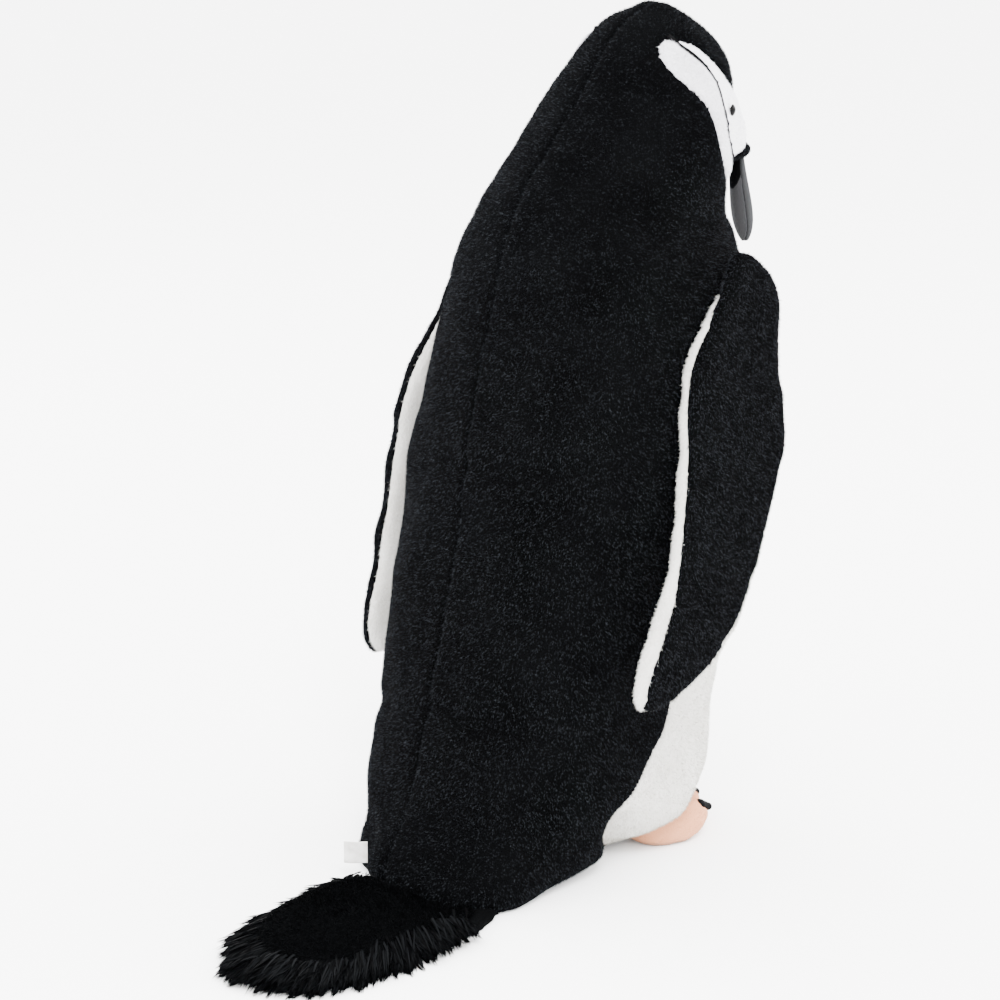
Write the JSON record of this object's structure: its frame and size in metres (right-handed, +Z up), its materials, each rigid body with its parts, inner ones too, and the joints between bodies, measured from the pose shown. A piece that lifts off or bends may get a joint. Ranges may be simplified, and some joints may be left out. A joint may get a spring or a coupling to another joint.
{
  "type": "plush penguin",
  "caption": "Stuffed plush penguin standing on a flat base: leaning body, bowed head with a beak, two flippers, webbed feet with claws and a flat tail with a long-pile border.",
  "frame": {"origin": "on the underside of the base panel, under the middle of the body, at floor level", "axes": "+Z up, the penguin faces -Y, its right side is -X, its tail points to +Y"},
  "size_m": [0.3725, 0.6198, 0.72],
  "materials": {
    "black_plush": "short cut pile with a cool sheen",
    "white_plush": "short white cut pile",
    "face_plush": "very short sheared white pile",
    "strap_ribbon": "narrow dark ribbon",
    "base_fabric": "flat black woven cloth",
    "eye_plastic": "polished black",
    "washer_plastic": "moulded",
    "stuffing": "loose polyester fibre",
    "pellet_bag": "cotton bag of plastic pellets",
    "beak_fabric": "short-pile grey cloth",
    "foot_fabric": "short-pile peach cloth",
    "sole_fabric": "flat brown cloth",
    "claw_vinyl": "black soft vinyl",
    "long_pile": "long shaggy pile",
    "label_ribbon": "white woven satin ribbon, blank"
  },
  "bodies": {
    "root": {"back_panel_left": "black_plush", "back_panel_right": "black_plush", "belly_panel": "white_plush", "base_panel": "base_fabric", "face_panel_left": "face_plush", "face_panel_right": "face_plush", "chin_strap": "strap_ribbon", "cheek_panel_left": "white_plush", "cheek_panel_right": "white_plush", "eye_left": "eye_plastic", "eye_right": "eye_plastic", "eye_washer_left": "washer_plastic", "eye_washer_right": "washer_plastic", "body_filling": "stuffing", "pellet_bag": "pellet_bag", "beak_base": "black_plush", "beak_upper": "beak_fabric", "beak_lower": "beak_fabric"},
    "flipper_left": {"flipper_left_outer": "black_plush", "flipper_left_inner": "white_plush", "flipper_left_filling": "stuffing"},
    "flipper_right": {"flipper_right_outer": "black_plush", "flipper_right_inner": "white_plush", "flipper_right_filling": "stuffing"},
    "foot_left": {"foot_left_upper": "foot_fabric", "foot_left_sole": "sole_fabric", "foot_left_filling": "stuffing", "foot_left_claws": "claw_vinyl"},
    "foot_right": {"foot_right_upper": "foot_fabric", "foot_right_sole": "sole_fabric", "foot_right_filling": "stuffing", "foot_right_claws": "claw_vinyl"},
    "tail": {"tail_border": "long_pile", "tail_centre": "black_plush", "tail_underside": "base_fabric", "tail_filling": "stuffing"},
    "label": {"sewn_label": "label_ribbon"}
  },
  "joints": [
    {"name": "flipper_left_lift", "type": "hinge", "parent": "root", "child": "flipper_left", "pos_m": [0.11586, -0.03123, 0.50908], "axis": [-0.1073, -0.9871, -0.1188], "range_deg": [0, 70]},
    {"name": "flipper_right_lift", "type": "hinge", "parent": "root", "child": "flipper_right", "pos_m": [-0.10831, -0.11596, 0.52036], "axis": [-0.0642, 0.9327, 0.3549], "range_deg": [0, 70]},
    {"name": "tail_lift", "type": "hinge", "parent": "root", "child": "tail", "pos_m": [-0.05, 0.172, 0.006], "axis": [1, 0, 0], "range_deg": [-8, 25]},
    {"name": "foot_left_droop", "type": "hinge", "parent": "root", "child": "foot_left", "pos_m": [0.068, -0.057, 0], "axis": [1, 0, 0], "range_deg": [0, 15]},
    {"name": "foot_right_droop", "type": "hinge", "parent": "root", "child": "foot_right", "pos_m": [-0.068, -0.057, 0], "axis": [1, 0, 0], "range_deg": [0, 15]},
    {"name": "label_flap", "type": "hinge", "parent": "root", "child": "label", "pos_m": [0.0355, 0.1725, 0.0245], "axis": [0, 0, 1], "range_deg": [-25, 25]}
  ]
}
